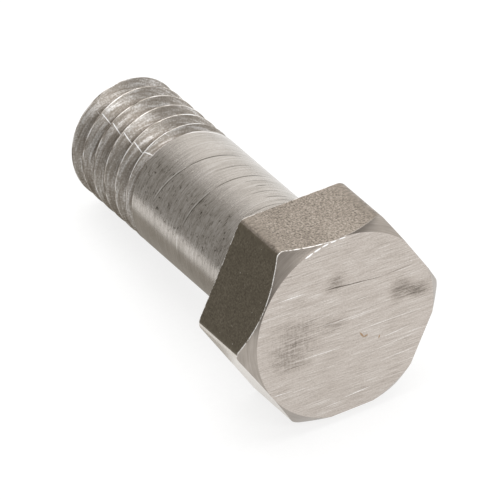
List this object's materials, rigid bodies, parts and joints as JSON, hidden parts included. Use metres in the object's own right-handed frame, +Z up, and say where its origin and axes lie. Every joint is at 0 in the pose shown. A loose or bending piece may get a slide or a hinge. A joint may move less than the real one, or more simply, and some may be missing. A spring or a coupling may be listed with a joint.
{
  "type": "shoulder bolt",
  "caption": "Hexagon-headed bolt with a chamfered head, a plain turned shank and a short coarse right-hand thread that fades into it.",
  "frame": {"origin": "on the floor under the middle of the bolt's box as it lies", "axes": "+Z up; -Y is where the head's face looks, +Y is where the tip points; the bolt's own axis lies in the YZ plane, its head end raised 5.8 degrees, because it rests on one flat's edge under the head and on its last thread crest"},
  "size_m": [0.0162, 0.0327, 0.0149],
  "materials": {
    "machined_stainless": "bare stainless steel with a belt-ground head face, sawn and rolled bar flats and a turned shank and thread"
  },
  "bodies": {
    "root": {"shoulder_bolt": "machined_stainless"}
  },
  "joints": []
}
